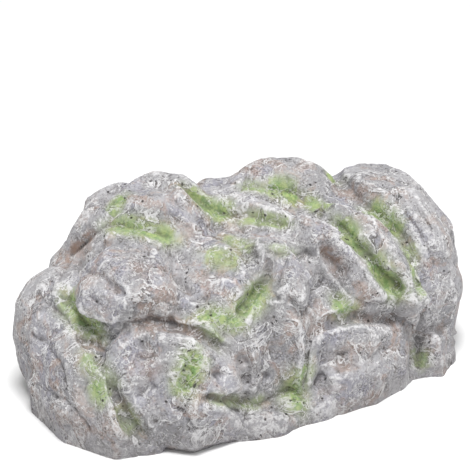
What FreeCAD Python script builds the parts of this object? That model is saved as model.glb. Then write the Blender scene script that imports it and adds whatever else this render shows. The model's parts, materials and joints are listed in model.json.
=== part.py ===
"""Hide-a-key rock: a cast resin boulder with a flat underside, a key compartment in it,
a lid that slides in a dovetail channel, and a safe-type key that lies loose inside.

Frame: origin at the middle of the underside, +X along the rock towards the end where the
lid slides out, -Y towards the face with the most modelling, +Z up.  Millimetres.
"""
import FreeCAD, Part
import math
import os
import re
import Sketcher

Vector = FreeCAD.Vector
Rotation = FreeCAD.Rotation
Placement = FreeCAD.Placement

# ---------------------------------------------------------------- sizes
SIZES = {
    # body of the boulder behind the separate stones
    "core_long": 106.0,
    "core_wide": 60.0,
    "core_tall": 40.0,
    # lid
    "lid_long": 96.6,
    "lid_wide": 40.0,
    "lid_thick": 2.6,
    "lid_lap": 4.3,
    "lid_arch_rise": 8.9,
    "lid_bevel_in": 1.3,
    "lid_bevel_up": 2.1,
    "lid_corner": 1.6,
    # finger grip in the lid's outer face
    "grip_wide": 23.4,
    "grip_long": 5.6,
    "grip_deep": 1.5,
    "grip_inset": 7.3,
    # dovetail channel
    "lid_recess": 0.4,
    "slide_gap": 0.25,
    "lift_gap": 0.2,
    # key compartment
    "room_long": 83.0,
    "room_wide": 34.5,
    "room_deep": 21.0,
    "room_corner": 4.0,
    "room_cove": 3.0,
    # key: where it lies, turned clockwise, and how far from the compartment's walls and the lid
    "key_x": 0.8,
    "key_angle": 15.5,
    "key_side_gap": 0.95,
    "key_end_gap": 0.6,
    "key_rest_gap": 0.3,
    # key: stamped bow with a ring loop
    "bow_thick": 2.4,
    "bow_tall": 15.0,
    "bow_wide": 23.6,
    "bow_top_wide": 22.6,
    "bow_bulge": 0.8,
    "bow_dip": 2.2,
    "bow_foot": 7.4,
    "bow_corner": 0.8,
    "bow_edge": 0.35,
    "tang_long": 3.0,
    "tang_wide": 3.4,
    "loop_tall": 6.9,
    "loop_base": 14.8,
    "loop_top": 8.4,
    "loop_offset": -0.6,
    "loop_hole_tall": 4.6,
    "loop_hole_base": 8.0,
    "loop_hole_top": 6.0,
    "loop_bar": 2.1,
    "rivet_hole": 2.3,
    "rivet_from_side": 4.0,
    "rivet_from_top": 3.6,
    # key: round neck and cruciform blade
    "neck_round": 6.2,
    "neck_long": 8.8,
    "neck_edge": 0.5,
    "blade_long": 31.0,
    "blade_across": 5.4,
    "rib_thick": 1.6,
    "tip_taper": 1.5,
    "bit_pitch": 3.4,
    "bit_count": 8,
    "bit_deep": 0.9,
    "bit_root": 0.8,
    "bit_mouth": 2.2,
    "bit_start": 3.2,
    # height of the long axis from which the grooves' angles are measured
    "groove_axis_up": 10.0,
    # how far the cutting shapes reach past what they cut
    "trim_margin": 30.0,
    "groove_past": 3.0,
    "cut_past": 1.0,
}

# Stones of the boulder: middle; length, width and height; yaw, dip and roll in degrees; sides.
STONES = {
    "left_end": {"at": (-42.5, -3, 8), "size": (32, 52, 42), "turn": (0, 0, 0), "sides": 9},
    "left_shoulder": {"at": (-41, 6, 15), "size": (33, 42, 34), "turn": (8, 0, 0), "sides": 8},
    "middle_block": {"at": (-29, -18.6, 12.5), "size": (31, 34, 33), "turn": (-8, 0, 0), "sides": 7},
    "low_slab": {"at": (-11, -19.2, 2), "size": (48, 31.6, 15), "turn": (-1, 0, 0), "sides": 8},
    "middle_wall": {"at": (-16, -15, 19), "size": (26, 30, 34), "turn": (0, 0, 0), "sides": 8},
    "centre_block": {"at": (-4, -19, 21), "size": (17, 30, 40), "turn": (8, 0, 0), "sides": 7},
    "round_boulder": {"at": (16, -18.5, 8.5), "size": (36, 34, 32), "turn": (18, 0, 0), "sides": 10},
    "round_shelf": {"at": (14, -17.5, 19.5), "size": (42, 28, 15), "turn": (-4, 0, 0), "sides": 9},
    "right_foot": {"at": (37.5, -17.5, 3), "size": (22, 30, 22), "turn": (10, 0, 0), "sides": 7},
    "right_lobe": {"at": (38, -2, 17.5), "size": (39.2, 54, 50.5), "turn": (0, 0, 0), "sides": 10},
    "outer_slab": {"at": (24, -20.5, 30), "size": (42, 13, 16), "turn": (-56, 44, 0), "sides": 6},
    "inner_slab": {"at": (12.5, -20.5, 31), "size": (38, 12, 16), "turn": (-52, 42, 0), "sides": 6},
    "left_crest": {"at": (-20, 8, 31), "size": (44, 34, 38), "turn": (15, 0, 0), "sides": 8},
    "top_slab": {"at": (0, -3, 37), "size": (44, 15, 16), "turn": (-50, 8, 0), "sides": 6},
    "right_crest": {"at": (15, 9, 30), "size": (43, 30, 34), "turn": (-10, 0, 0), "sides": 8},
    "face_slab": {"at": (-36, -7, 27), "size": (30, 28, 30), "turn": (-20, 0, 0), "sides": 7},
    "rear_slab": {"at": (-24.5, 17.5, 38.5), "size": (22, 21, 16), "turn": (0, -4, 0), "sides": 6},
    "back_left": {"at": (-28.4, 15.8, 15), "size": (36, 36, 46), "turn": (7, 0, 0), "sides": 8},
    "back_middle": {"at": (-2, 16.5, 20), "size": (38, 38, 46), "turn": (0, 0, 0), "sides": 8},
    "back_right": {"at": (28, 15.5, 14), "size": (38, 35, 36), "turn": (-5, 0, 0), "sides": 8},
    "back_low": {"at": (4, 18, 4), "size": (60, 32, 20), "turn": (0, 0, 0), "sides": 9},
}

# Valleys and clefts cut into the boulder: stations along it and angles round its long axis,
# from 0 degrees at the front over 90 at the top to 180 at the back; width and depth.
GROOVES = {
    "lobe_valley": {"along": (30, 29, 30, 32, 33, 31, 31, 33),
        "angle": (100, 86, 72, 60, 50, 37, 20, 0), "wide": 6.0, "deep": 2.4},
    "left_valley": {"along": (-28, -32, -36, -41, -47, -50),
        "angle": (98, 98, 100, 102, 100, 92), "wide": 5.0, "deep": 2.0},
    "face_lower": {"along": (-50, -50, -49, -48, -47),
        "angle": (88, 70, 57, 48, 41), "wide": 5.5, "deep": 2.0},
    "face_upper": {"along": (-36, -33, -29, -25, -22),
        "angle": (96, 92, 86, 81, 77), "wide": 5.0, "deep": 1.6},
    "face_right": {"along": (-23, -24, -26, -26, -24),
        "angle": (78, 70, 62, 55, 47), "wide": 4.0, "deep": 1.4},
    "crest_groove": {"along": (-15, -12, -8, -5, -1, 3, 6),
        "angle": (100, 94, 88, 82, 76, 70, 64), "wide": 5.0, "deep": 2.0},
    "upper_groove": {"along": (2, 6, 10, 14, 16, 16),
        "angle": (104, 99, 93, 86, 76, 67), "wide": 4.5, "deep": 1.6},
    "slab_gap": {"along": (15.5, 16, 17, 19, 23, 28),
        "angle": (68, 60, 50, 40, 31, 24), "wide": 4.5, "deep": 2.2},
    "slab_overhang": {"along": (8, 9, 11, 14, 19, 26),
        "angle": (56, 47, 39, 31, 25, 21), "wide": 4.5, "deep": 1.8},
    "centre_left": {"along": (-5, -8, -10, -14, -20),
        "angle": (58, 51, 46, 40, 34), "wide": 5.0, "deep": 1.5},
    "centre_right": {"along": (7, 6, 2, -1, -2, -3, -4),
        "angle": (50, 42, 35, 25, 12, -1, -14), "wide": 4.5, "deep": 1.8},
    "left_boulder": {"along": (-51, -50, -49, -49, -49, -48, -46, -43),
        "angle": (66, 50, 38, 27, 16, 4, -7, -17), "wide": 5.5, "deep": 2.2},
    "middle_top": {"along": (-49, -45, -39, -33, -29, -25, -20),
        "angle": (38, 45, 45, 42, 36, 28, 20), "wide": 5.0, "deep": 2.0},
    "low_ledge": {"along": (-33, -26, -18, -12, -4),
        "angle": (10, 4, -3, -5, -2), "wide": 3.6, "deep": 1.3},
    "round_outline": {"along": (-2, 3, 9, 15, 22, 29, 32),
        "angle": (19, 23, 24, 22, 18, 10, -4), "wide": 4.5, "deep": 1.8},
    "middle_dip": {"along": (-32, -34, -36, -36), "angle": (30, 23, 16, 9), "wide": 4.5, "deep": 1.2},
    "crest_back": {"along": (-6, -3, 0, 3, 3),
        "angle": (106, 118, 130, 142, 154), "wide": 5.5, "deep": 2.2},
    "back_cleft": {"along": (-16, -19, -20, -18, -17),
        "angle": (140, 152, 164, 176, 190), "wide": 5.5, "deep": 2.4},
    "back_ledge": {"along": (-44, -36, -28, -19), "angle": (158, 152, 150, 152), "wide": 4.5, "deep": 1.8},
    "back_seam": {"along": (14, 16, 15, 18, 19),
        "angle": (132, 144, 158, 170, 188), "wide": 5.5, "deep": 2.4},
    "back_shelf": {"along": (17, 25, 34, 42), "angle": (150, 146, 144, 136), "wide": 4.5, "deep": 1.8},
    "lobe_back": {"along": (34, 36, 42, 48), "angle": (118, 132, 146, 158), "wide": 5.0, "deep": 2.0},
}
GROOVE_END_SHARE = 0.3      # width and depth of a groove's two ends, as shares of its own

# Level and girth of each ring of a stone, as shares of its half height and half width.
STONE_RING_SHARES = ((-1.0, 0.55), (-0.62, 0.93), (0.0, 1.0), (0.58, 0.84), (1.0, 0.42))
CORE_RING_SHARES = (
    (-1.0, 0.5), (-0.8, 0.8), (-0.4, 0.97), (0.0, 1.0), (0.4, 0.97), (0.8, 0.8), (1.0, 0.5),
)
CORE_SIDES = 16

doc = FreeCAD.newDocument("hide_a_key_rock")
sheet = doc.addObject("Spreadsheet::Sheet", "sizes")


def cells_of(name, value):
    """One cell for a number, or one numbered cell for each number of a group."""
    if isinstance(value, tuple):
        return {f"{name}_{i}": number for i, number in enumerate(value, start=1)}
    return {name: value}


def fill_sheet():
    """Write each size in its own row, with its name as the alias."""
    rows = dict(SIZES)
    for table in (STONES, GROOVES):
        for piece, settings in table.items():
            for setting, value in settings.items():
                rows.update(cells_of(f"{piece}_{setting}", value))
    for row, (name, number) in enumerate(rows.items(), start=1):
        sheet.set(f"A{row}", name)
        sheet.set(f"B{row}", str(number))
        sheet.setAlias(f"B{row}", name)
    doc.recompute()


def size(name):
    return float(sheet.get(name))


def sizes_of(name, count):
    return [size(f"{name}_{i}") for i in range(1, count + 1)]


def bind(thing, prop, formula):
    """Tie a property to the sheet: each word of the formula but cos and sin is a cell's alias."""
    thing.setExpression(prop, re.sub(r"\b(?!cos\b|sin\b)[a-z]\w*", r"sizes.\g<0>", formula))


# ---------------------------------------------------------------- sketches and bodies
def plane_of(body, role):
    return next(f for f in body.Origin.OriginFeatures if f.Role == role)


def new_sketch(body, name, role):
    sketch = body.newObject("Sketcher::SketchObject", name)
    sketch.AttachmentSupport = (plane_of(body, role), [""])
    sketch.MapMode = "FlatFace"
    return sketch


def closed_outline(sketch, corners):
    """Straight closed outline: each corner is (x, y, formula for x, formula for y)."""
    points = [Vector(corner[0], corner[1], 0) for corner in corners]
    count = len(points)
    for i in range(count):
        sketch.addGeometry(Part.LineSegment(points[i], points[(i + 1) % count]), False)
    first = sketch.GeometryCount - count
    for i in range(count):
        following = first + (i + 1) % count
        sketch.addConstraint(Sketcher.Constraint("Coincident", first + i, 2, following, 1))
    for i, corner in enumerate(corners):
        pin_point(sketch, first + i, 1, corner[2], corner[3])
    return first


def pin_point(sketch, line, end, x_formula, y_formula):
    """Hold a point at signed distances from the sketch's axes."""
    origin = (-1, 1)
    for kind, formula in (("DistanceX", x_formula), ("DistanceY", y_formula)):
        if formula is None:
            continue
        place = sketch.getPoint(line, end)
        now = place.x if kind == "DistanceX" else place.y
        index = sketch.addConstraint(Sketcher.Constraint(kind, *origin, line, end, now))
        bind(sketch, f"Constraints[{index}]", formula)


def pad(body, sketch, name, length, midplane=False):
    feature = body.newObject("PartDesign::Pad", name)
    feature.Profile = sketch
    bind(feature, "Length", length)
    feature.Midplane = midplane
    return feature


def edges_where(shape, test):
    return [f"Edge{i}" for i, edge in enumerate(shape.Edges, start=1) if test(edge)]


def is_upright(edge):
    first, last = edge.Vertexes[0].Point, edge.Vertexes[-1].Point
    return abs(first.x - last.x) < 1e-6 and abs(first.y - last.y) < 1e-6


def lies_level(edge, height):
    box = edge.BoundBox
    return box.ZLength < 1e-6 and abs(abs(box.ZMin) - height) < 1e-6


def round_edges(body, base, name, edges, radius):
    feature = body.newObject("PartDesign::Fillet", name)
    feature.Base = (base, edges)
    bind(feature, "Radius", radius)
    return feature


def cut(name, base, tool):
    feature = doc.addObject("Part::Cut", name)
    feature.Base = base
    feature.Tool = tool
    feature.Refine = True
    return feature


# ---------------------------------------------------------------- boulder
def faceted(rings, sides, long, wide, tall):
    """Closed stone of flat facets: one polygon at each level, all of one outline."""
    outline = Part.makeCircle(1.0).discretize(Number=sides + 1)[:-1]
    levels = []
    for level, girth in rings:
        levels.append([
            Vector(p.x * girth * long / 2, p.y * girth * wide / 2, level * tall / 2) for p in outline
        ])
    faces = [Part.Face(Part.makePolygon(levels[0] + levels[0][:1]))]
    faces.append(Part.Face(Part.makePolygon(levels[-1] + levels[-1][:1])))
    for lower, upper in zip(levels, levels[1:]):
        for i in range(sides):
            j = (i + 1) % sides
            corners = [lower[i], lower[j], upper[j], upper[i], lower[i]]
            faces.append(Part.Face(Part.makePolygon(corners)))
    return Part.makeSolid(Part.makeShell(faces))


def make_stone(name):
    """One stone, from its own cells."""
    stone = doc.addObject("Part::Feature", name)
    stone.Shape = faceted(STONE_RING_SHARES, int(size(f"{name}_sides")), *sizes_of(f"{name}_size", 3))
    stone.Placement = Placement(Vector(*sizes_of(f"{name}_at", 3)), Rotation(*sizes_of(f"{name}_turn", 3)))
    return stone


def make_core():
    core = doc.addObject("Part::Feature", "core")
    core.Shape = faceted(
        CORE_RING_SHARES, CORE_SIDES, size("core_long"), size("core_wide"), 2 * size("core_tall"))
    return core


def volume_of(solid):
    return solid.Volume


def outward_planes(stone):
    """A point and the outward normal of each face of a convex stone."""
    middle = stone.Shape.CenterOfMass
    planes = []
    for face in stone.Shape.Faces:
        point, normal = face.Vertexes[0].Point, face.normalAt(0, 0)
        planes.append((point, normal if normal.dot(point - middle) > 0 else -normal))
    return planes


def way_out(planes, start, outward):
    """How far along a ray it leaves a convex stone: 0 if it misses the stone."""
    enter, leave = 0.0, math.inf
    for point, normal in planes:
        slope, gap = normal.dot(outward), normal.dot(point - start)
        if slope > 1e-9:
            leave = min(leave, gap / slope)
        elif slope < -1e-9:
            enter = max(enter, gap / slope)
        elif gap < 0:
            return 0.0
    return leave if enter < leave else 0.0


def skin_point(blocks, x, angle):
    """Where a ray from the long axis leaves the boulder, and the ray's direction."""
    outward = Vector(0, -math.cos(math.radians(angle)), math.sin(math.radians(angle)))
    start = Vector(x, 0, size("groove_axis_up"))
    return start + outward * max(way_out(planes, start, outward) for planes in blocks), outward


def groove_ring(place, outward, heading, wide, deep):
    """V across the groove: its bottom, and two corners out past the skin."""
    across = heading.cross(outward).normalize()
    up = across.cross(heading).normalize()
    if up.dot(outward) < 0:
        up = -up
    past = size("groove_past")
    reach = wide / 2 * (1 + past / deep)
    return [place - up * deep, place + up * past + across * reach, place + up * past - across * reach]


def make_groove(name, blocks):
    """V-shaped groove that follows the skin through its stations and tapers at both ends."""
    count = len(GROOVES[name]["along"])
    stations = zip(sizes_of(f"{name}_along", count), sizes_of(f"{name}_angle", count))
    route = [skin_point(blocks, x, angle) for x, angle in stations]
    rings = []
    for i, (place, outward) in enumerate(route):
        heading = route[min(i + 1, count - 1)][0] - route[max(i - 1, 0)][0]
        share = GROOVE_END_SHARE if i in (0, count - 1) else 1.0
        rings.append(groove_ring(
            place, outward, heading.normalize(),
            share * size(f"{name}_wide"), share * size(f"{name}_deep")))
    triangles = [rings[0], rings[-1]]
    for here, there in zip(rings, rings[1:]):
        for i in range(3):
            j = (i + 1) % 3
            triangles.append([here[i], here[j], there[j]])
            triangles.append([here[i], there[j], there[i]])
    faces = [Part.Face(Part.makePolygon(corners + corners[:1])) for corners in triangles]
    groove = doc.addObject("Part::Feature", name)
    groove.Shape = Part.makeSolid(Part.makeShell(faces))
    return groove


def make_boulder():
    """Core and stones in one piece, with grooves cut in, trimmed flat underneath.

    Crumbs that two grooves cut loose between them are left out.
    """
    stones = [make_core()] + [make_stone(name) for name in STONES]
    heap = doc.addObject("Part::MultiFuse", "heap")
    heap.Shapes = stones
    blocks = [outward_planes(stone) for stone in stones]
    grooves = doc.addObject("Part::MultiFuse", "grooves")
    grooves.Shapes = [make_groove(name, blocks) for name in GROOVES]
    ground = doc.addObject("Part::Box", "ground")
    bind(ground, "Length", "core_long + 2 * trim_margin")
    bind(ground, "Width", "core_wide + 2 * trim_margin")
    bind(ground, "Height", "core_tall + trim_margin")
    bind(ground, "Placement.Base.x", "-core_long / 2 - trim_margin")
    bind(ground, "Placement.Base.y", "-core_wide / 2 - trim_margin")
    bind(ground, "Placement.Base.z", "-core_tall - trim_margin")
    trimmed = cut("trimmed", cut("grooved", heap, grooves), ground)
    doc.recompute()
    boulder = doc.addObject("Part::Feature", "boulder")
    boulder.Shape = max(trimmed.Shape.Solids, key=volume_of)
    return boulder


def dovetail(name, back_x, front_x, half_wide, low_z, bevel_top_z, top_z):
    """Slab with both long sides and its back end bevelled inwards towards low_z."""
    inward = f"lid_bevel_in * ( {bevel_top_z} - ( {low_z} ) ) / lid_bevel_up"
    wedge = doc.addObject("Part::Wedge", f"{name}_bevel")
    wedge.Placement = Placement(Vector(0, 0, 0), Rotation(Vector(1, 0, 0), 90))
    bind(wedge, "Ymin", low_z)
    bind(wedge, "Ymax", bevel_top_z)
    bind(wedge, "Xmin", f"{back_x} + {inward}")
    bind(wedge, "X2min", back_x)
    bind(wedge, "Xmax", front_x)
    bind(wedge, "X2max", front_x)
    bind(wedge, "Zmin", f"{inward} - ( {half_wide} )")
    bind(wedge, "Zmax", f"{half_wide} - {inward}")
    bind(wedge, "Z2min", f"0 - ( {half_wide} )")
    bind(wedge, "Z2max", half_wide)
    land = doc.addObject("Part::Box", f"{name}_land")
    bind(land, "Length", f"{front_x} - ( {back_x} )")
    bind(land, "Width", f"2 * ( {half_wide} )")
    bind(land, "Height", f"{top_z} - ( {bevel_top_z} )")
    bind(land, "Placement.Base.x", back_x)
    bind(land, "Placement.Base.y", f"0 - ( {half_wide} )")
    bind(land, "Placement.Base.z", bevel_top_z)
    block = doc.addObject("Part::Fuse", name)
    block.Base = wedge
    block.Tool = land
    block.Refine = True
    return block


# Levels and ends that several pieces share.  The compartment ends a gap past the key's tip.
LEDGE_Z = "( lid_recess + lid_thick + lift_gap )"
KEY_REACH = "( bow_dip + neck_long + blade_long )"
TIP_HALF = "( blade_across / 2 - tip_taper )"
KEY_TIP_X = f"( key_x - {KEY_REACH} * cos( key_angle ) - {TIP_HALF} * sin( key_angle ) )"
ROOM_BACK_X = f"( {KEY_TIP_X} - key_end_gap )"
ROOM_FRONT_X = f"( {ROOM_BACK_X} + room_long )"
LID_BACK_X = f"( {ROOM_BACK_X} - lid_lap )"


def room_back():
    """ROOM_BACK_X as a number, for the first guess that a sketch starts from."""
    angle = math.radians(size("key_angle"))
    reach = size("bow_dip") + size("neck_long") + size("blade_long")
    tip_half = size("blade_across") / 2 - size("tip_taper")
    return size("key_x") - reach * math.cos(angle) - tip_half * math.sin(angle) - size("key_end_gap")


def make_channel():
    """Dovetail channel for the lid, open at the rock's front end."""
    return dovetail(
        "channel",
        back_x=f"( {LID_BACK_X} - slide_gap )",
        front_x="( core_long / 2 + trim_margin )",
        half_wide="( lid_wide / 2 + slide_gap )",
        low_z="( 0 - cut_past )",
        bevel_top_z="( lid_recess + lid_bevel_up )",
        top_z=LEDGE_Z,
    )


def make_room():
    """Key compartment above the channel, with rounded corners and a coved ceiling."""
    body = doc.addObject("PartDesign::Body", "room")
    sketch = new_sketch(body, "room_plan", "XY_Plane")
    back, half = room_back(), size("room_wide") / 2
    front = back + size("room_long")
    closed_outline(sketch, [
        (back, -half, ROOM_BACK_X, "0 - room_wide / 2"),
        (front, -half, ROOM_FRONT_X, "0 - room_wide / 2"),
        (front, half, ROOM_FRONT_X, "room_wide / 2"),
        (back, half, ROOM_BACK_X, "room_wide / 2"),
    ])
    block = pad(body, sketch, "room_block", f"{LEDGE_Z} + room_deep")
    doc.recompute()
    uprights = edges_where(block.Shape, is_upright)
    corners = round_edges(body, block, "room_corners", uprights, "room_corner")
    doc.recompute()
    ceiling = corners.Shape.BoundBox.ZMax
    rim = edges_where(corners.Shape, lambda e: abs(e.BoundBox.ZMin - ceiling) < 1e-6)
    round_edges(body, corners, "room_ceiling", rim, "room_cove")
    return body


def make_rock_body():
    boulder = make_boulder()
    open_channel = cut("with_channel", boulder, make_channel())
    rock = cut("rock_body", open_channel, make_room())
    return rock


# ---------------------------------------------------------------- lid
def make_lid_blank():
    """Flat plate: straight back end with rounded corners, arched front end."""
    body = doc.addObject("PartDesign::Body", "lid_blank")
    bind(body, "Placement.Base.z", "lid_recess")
    sketch = new_sketch(body, "lid_plan", "XY_Plane")
    half = size("lid_wide") / 2
    back = room_back() - size("lid_lap")
    rise = size("lid_arch_rise")
    shoulder = back + size("lid_long") - rise
    radius = (half * half + rise * rise) / (2 * rise)
    shoulder_x = f"{LID_BACK_X} + lid_long - lid_arch_rise"
    low_side = sketch.addGeometry(Part.LineSegment(Vector(back, -half, 0), Vector(shoulder, -half, 0)))
    arch = sketch.addGeometry(Part.Arc(
        Vector(shoulder, -half, 0), Vector(shoulder + rise, 0, 0), Vector(shoulder, half, 0)))
    high_side = sketch.addGeometry(Part.LineSegment(Vector(shoulder, half, 0), Vector(back, half, 0)))
    back_end = sketch.addGeometry(Part.LineSegment(Vector(back, half, 0), Vector(back, -half, 0)))
    for one, other in ((high_side, back_end), (back_end, low_side)):
        sketch.addConstraint(Sketcher.Constraint("Coincident", one, 2, other, 1))
    sketch.addConstraint(Sketcher.Constraint("Coincident", low_side, 2, arch, 1))
    sketch.addConstraint(Sketcher.Constraint("Coincident", arch, 2, high_side, 1))
    pin_point(sketch, low_side, 1, LID_BACK_X, "0 - lid_wide / 2")
    pin_point(sketch, low_side, 2, shoulder_x, "0 - lid_wide / 2")
    pin_point(sketch, high_side, 1, shoulder_x, "lid_wide / 2")
    pin_point(sketch, high_side, 2, LID_BACK_X, "lid_wide / 2")
    curve = sketch.addConstraint(Sketcher.Constraint("Radius", arch, radius))
    bind(sketch, f"Constraints[{curve}]",
         "( ( lid_wide / 2 ) ^ 2 + lid_arch_rise ^ 2 ) / ( 2 * lid_arch_rise )")
    plate = pad(body, sketch, "lid_plate", "lid_thick")
    doc.recompute()
    back_corners = edges_where(
        plate.Shape, lambda e: is_upright(e) and abs(e.BoundBox.XMin - back) < 1e-6)
    round_edges(body, plate, "lid_corners", back_corners, "lid_corner")
    return body


def make_grip():
    """Crescent finger grip: part of a shallow cone, cut off straight on its deep side."""
    radius = "( ( ( grip_wide / 2 ) ^ 2 + grip_long ^ 2 ) / ( 2 * grip_long ) )"
    chord_x = f"( {LID_BACK_X} + lid_long - grip_inset )"
    cone = doc.addObject("Part::Cone", "grip_cone")
    bind(cone, "Radius1", f"{radius} + cut_past * grip_long / grip_deep")
    bind(cone, "Radius2", f"{radius} - grip_long")
    bind(cone, "Height", "grip_deep + cut_past")
    bind(cone, "Placement.Base.x", f"{chord_x} + {radius} - grip_long")
    bind(cone, "Placement.Base.z", "lid_recess - cut_past")
    side = doc.addObject("Part::Box", "grip_side")
    bind(side, "Length", f"2 * {radius}")
    bind(side, "Width", f"4 * {radius}")
    bind(side, "Height", "grip_deep + cut_past")
    bind(side, "Placement.Base.x", f"{chord_x} - 2 * {radius}")
    bind(side, "Placement.Base.y", f"0 - 2 * {radius}")
    bind(side, "Placement.Base.z", "lid_recess - cut_past")
    grip = doc.addObject("Part::Common", "grip")
    grip.Base = cone
    grip.Tool = side
    return grip


def make_sliding_lid():
    runner = dovetail(
        "lid_runner",
        back_x=LID_BACK_X,
        front_x=f"( {LID_BACK_X} + lid_long + cut_past )",
        half_wide="( lid_wide / 2 )",
        low_z="lid_recess",
        bevel_top_z="( lid_recess + lid_bevel_up )",
        top_z="( lid_recess + lid_thick )",
    )
    plate = doc.addObject("Part::Common", "lid_shape")
    plate.Base = make_lid_blank()
    plate.Tool = runner
    return cut("sliding_lid", plate, make_grip())


# ---------------------------------------------------------------- key
def lay_key(thing):
    """Both parts share one place: the middle of the bow's foot, ring loop towards +X.

    A top corner of the bow lies a gap from the compartment's front wall.
    """
    bind(thing, "Placement.Base.x", "key_x")
    bind(thing, "Placement.Base.y", "key_side_gap - room_wide / 2"
         " + bow_tall * sin( key_angle ) + bow_top_wide / 2 * cos( key_angle )")
    bind(thing, "Placement.Base.z", "lid_recess + lid_thick + key_rest_gap + neck_round / 2")
    thing.Placement.Rotation = Rotation(Vector(0, 0, -1), size("key_angle"))
    bind(thing, "Placement.Rotation.Angle", "key_angle")


def make_key_bow():
    """Stamped head plate: bulged sides, ring loop, small hole, tang that seats in the neck."""
    body = doc.addObject("PartDesign::Body", "key_bow")
    sketch = new_sketch(body, "bow_plan", "XY_Plane")
    tall, wide, top = size("bow_tall"), size("bow_wide") / 2, size("bow_top_wide") / 2
    foot, dip = size("bow_foot") / 2, size("bow_dip")
    tang, reach = size("tang_wide") / 2, size("tang_long")
    middle, crown = size("loop_offset"), tall + size("loop_tall")
    base, crest = size("loop_base") / 2, size("loop_top") / 2
    outline = [
        (-dip - reach, -tang, "0 - bow_dip - tang_long", "0 - tang_wide / 2"),
        (-dip - reach, tang, "0 - bow_dip - tang_long", "tang_wide / 2"),
        (-dip, tang, "0 - bow_dip", "tang_wide / 2"),
        (-dip, foot, "0 - bow_dip", "bow_foot / 2"),
        (0, wide, "0", "bow_wide / 2"),
        (tall, top, "bow_tall", "bow_top_wide / 2"),
        (tall, middle + base, "bow_tall", "loop_offset + loop_base / 2"),
        (crown, middle + crest, "bow_tall + loop_tall", "loop_offset + loop_top / 2"),
        (crown, middle - crest, "bow_tall + loop_tall", "loop_offset - loop_top / 2"),
        (tall, middle - base, "bow_tall", "loop_offset - loop_base / 2"),
        (tall, -top, "bow_tall", "0 - bow_top_wide / 2"),
        (0, -wide, "0", "0 - bow_wide / 2"),
        (-dip, -foot, "0 - bow_dip", "0 - bow_foot / 2"),
        (-dip, -tang, "0 - bow_dip", "0 - tang_wide / 2"),
    ]
    closed_outline(sketch, outline)
    plate = pad(body, sketch, "bow_plate", "bow_thick", midplane=True)

    bulges = new_sketch(body, "bow_sides", "XY_Plane")
    for side in (1, -1):
        bulge_outline(bulges, side, tall, wide, top)
    rounded = pad(body, bulges, "bow_bulges", "bow_thick", midplane=True)

    holes = new_sketch(body, "bow_holes", "XY_Plane")
    loop_hole_outline(holes, crown, middle)
    rivet = holes.addGeometry(Part.Circle(
        Vector(tall - size("rivet_from_top"), wide - size("rivet_from_side"), 0),
        Vector(0, 0, 1), size("rivet_hole") / 2))
    pin_point(holes, rivet, 3, "bow_tall - rivet_from_top", "bow_wide / 2 - rivet_from_side")
    bore = holes.addConstraint(Sketcher.Constraint("Radius", rivet, size("rivet_hole") / 2))
    bind(holes, f"Constraints[{bore}]", "rivet_hole / 2")
    pocket = body.newObject("PartDesign::Pocket", "bow_openings")
    pocket.Profile = holes
    pocket.Type = "ThroughAll"
    pocket.Midplane = True
    doc.recompute()

    corners = edges_where(pocket.Shape, lambda e: is_upright(e) and e.BoundBox.XMin > -size("bow_dip") / 2)
    softened = round_edges(body, pocket, "bow_corners", corners, "bow_corner")
    doc.recompute()
    half = size("bow_thick") / 2
    rims = edges_where(
        softened.Shape, lambda e: lies_level(e, half) and e.BoundBox.XMax > -size("bow_dip") / 2)
    bevel = body.newObject("PartDesign::Chamfer", "bow_bevel")
    bevel.Base = (softened, rims)
    bind(bevel, "Size", "bow_edge")
    lay_key(body)
    return body


def bulge_outline(sketch, side, tall, wide, top):
    """Sliver between a straight side of the bow and its bulged edge."""
    low = Vector(0, side * wide, 0)
    high = Vector(tall, side * top, 0)
    swell = Vector(tall / 2, side * ((wide + top) / 2 + size("bow_bulge")), 0)
    sign = "" if side > 0 else "0 - "
    chord = sketch.addGeometry(Part.LineSegment(low, high))
    arc = sketch.addGeometry(Part.Arc(low, swell, high))
    low_end, high_end = (1, 2) if side < 0 else (2, 1)
    sketch.addConstraint(Sketcher.Constraint("Coincident", chord, 1, arc, low_end))
    sketch.addConstraint(Sketcher.Constraint("Coincident", chord, 2, arc, high_end))
    pin_point(sketch, chord, 1, "0", f"{sign}bow_wide / 2")
    pin_point(sketch, chord, 2, "bow_tall", f"{sign}bow_top_wide / 2")
    curve = sketch.addConstraint(Sketcher.Constraint("Radius", arc, sketch.Geometry[arc].Radius))
    bind(sketch, f"Constraints[{curve}]",
         "( ( bow_tall / 2 ) ^ 2 + bow_bulge ^ 2 ) / ( 2 * bow_bulge )")


def loop_hole_outline(sketch, crown, middle):
    """Tapered hole through the ring loop."""
    top = crown - size("loop_bar")
    low = top - size("loop_hole_tall")
    top_x = "bow_tall + loop_tall - loop_bar"
    low_x = f"{top_x} - loop_hole_tall"
    base, crest = size("loop_hole_base") / 2, size("loop_hole_top") / 2
    closed_outline(sketch, [
        (low, middle - base, low_x, "loop_offset - loop_hole_base / 2"),
        (low, middle + base, low_x, "loop_offset + loop_hole_base / 2"),
        (top, middle + crest, top_x, "loop_offset + loop_hole_top / 2"),
        (top, middle - crest, top_x, "loop_offset - loop_hole_top / 2"),
    ])


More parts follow.
